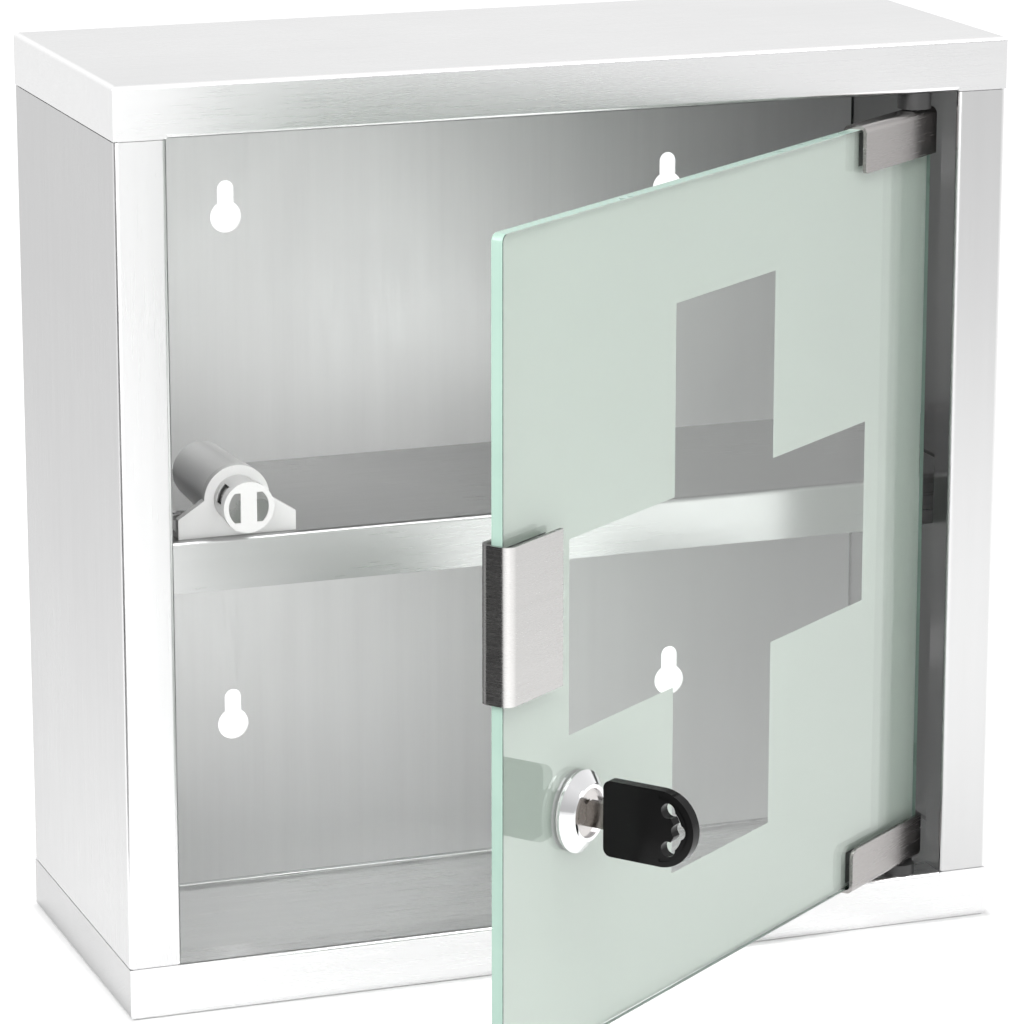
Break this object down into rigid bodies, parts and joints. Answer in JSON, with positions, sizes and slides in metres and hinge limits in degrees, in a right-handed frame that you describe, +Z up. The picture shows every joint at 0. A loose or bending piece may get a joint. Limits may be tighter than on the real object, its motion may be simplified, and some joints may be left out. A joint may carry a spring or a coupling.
{
  "type": "lockable medicine cabinet",
  "caption": "Stainless wall cabinet for medicines with a shelf and an inset frosted glass door that hangs on pivot clamps and closes with a cam lock and a push catch.",
  "frame": {"origin": "centre of the cabinet's underside", "axes": "+X to the right seen from the front, +Y from the front towards the wall, +Z up"},
  "size_m": [0.3, 0.2743, 0.3],
  "materials": {
    "steel_sheet": "satin brushed stainless sheet, near mirror on the narrow folds",
    "frosted_glass": "tempered glass etched satin on one face, with a clear cross and clear margins",
    "brushed_fittings": "brushed stainless plate",
    "chrome": "bright chrome plate",
    "zinc_steel": "zinc-plated or plain steel",
    "black_nylon": "moulded nylon",
    "key_plastic": "satin black moulding",
    "white_plastic": "white moulding",
    "rubber": "matt rubber",
    "magnet": "sintered ferrite"
  },
  "bodies": {
    "cabinet": {"bottom_pan": "steel_sheet", "top_pan": "steel_sheet", "left_side": "steel_sheet", "right_side": "steel_sheet", "back_panel": "steel_sheet", "shelf": "steel_sheet", "bottom_bush": "black_nylon", "top_bush": "black_nylon", "catch_foot": "white_plastic", "catch_barrel": "brushed_fittings", "catch_screws": "zinc_steel", "catch_spring": "zinc_steel"},
    "door": {"door_glass": "frosted_glass", "bottom_clamp": "brushed_fittings", "top_clamp": "brushed_fittings", "bottom_clamp_pads": "rubber", "top_clamp_pads": "rubber", "clamp_screws": "zinc_steel", "bottom_pin": "zinc_steel", "top_pin": "zinc_steel", "handle_clip": "brushed_fittings", "handle_pads": "rubber", "handle_screws": "zinc_steel", "lock_housing": "chrome", "lock_gaskets": "rubber", "lock_nut": "chrome"},
    "lock_plug": {"lock_plug": "chrome", "lock_cam": "zinc_steel", "cam_screw": "zinc_steel"},
    "key": {"key_blade": "zinc_steel", "key_bow": "key_plastic"},
    "catch": {"catch_plunger": "white_plastic", "pole_plates": "zinc_steel", "catch_magnet": "magnet"}
  },
  "joints": [
    {"name": "door_hinge", "type": "hinge", "parent": "cabinet", "child": "door", "pos_m": [0.12, -0.054, 0], "axis": [0, 0, 1], "range_deg": [-37, 73]},
    {"name": "lock_turn", "type": "hinge", "parent": "door", "child": "lock_plug", "pos_m": [-0.04572, -0.17888, 0.0954], "axis": [-0.6018, 0.7986, 0], "range_deg": [0, 90]},
    {"name": "key_slide", "type": "slide", "parent": "lock_plug", "child": "key", "axis": [0.6018, -0.7986, 0], "range_m": [0, 0.02]},
    {"name": "catch_push", "type": "slide", "parent": "cabinet", "child": "catch", "axis": [0, 1, 0], "range_m": [0, 0.005], "stiffness_N_per_m": 300, "springref_m": -0.01, "deforming": ["catch_spring"]}
  ]
}
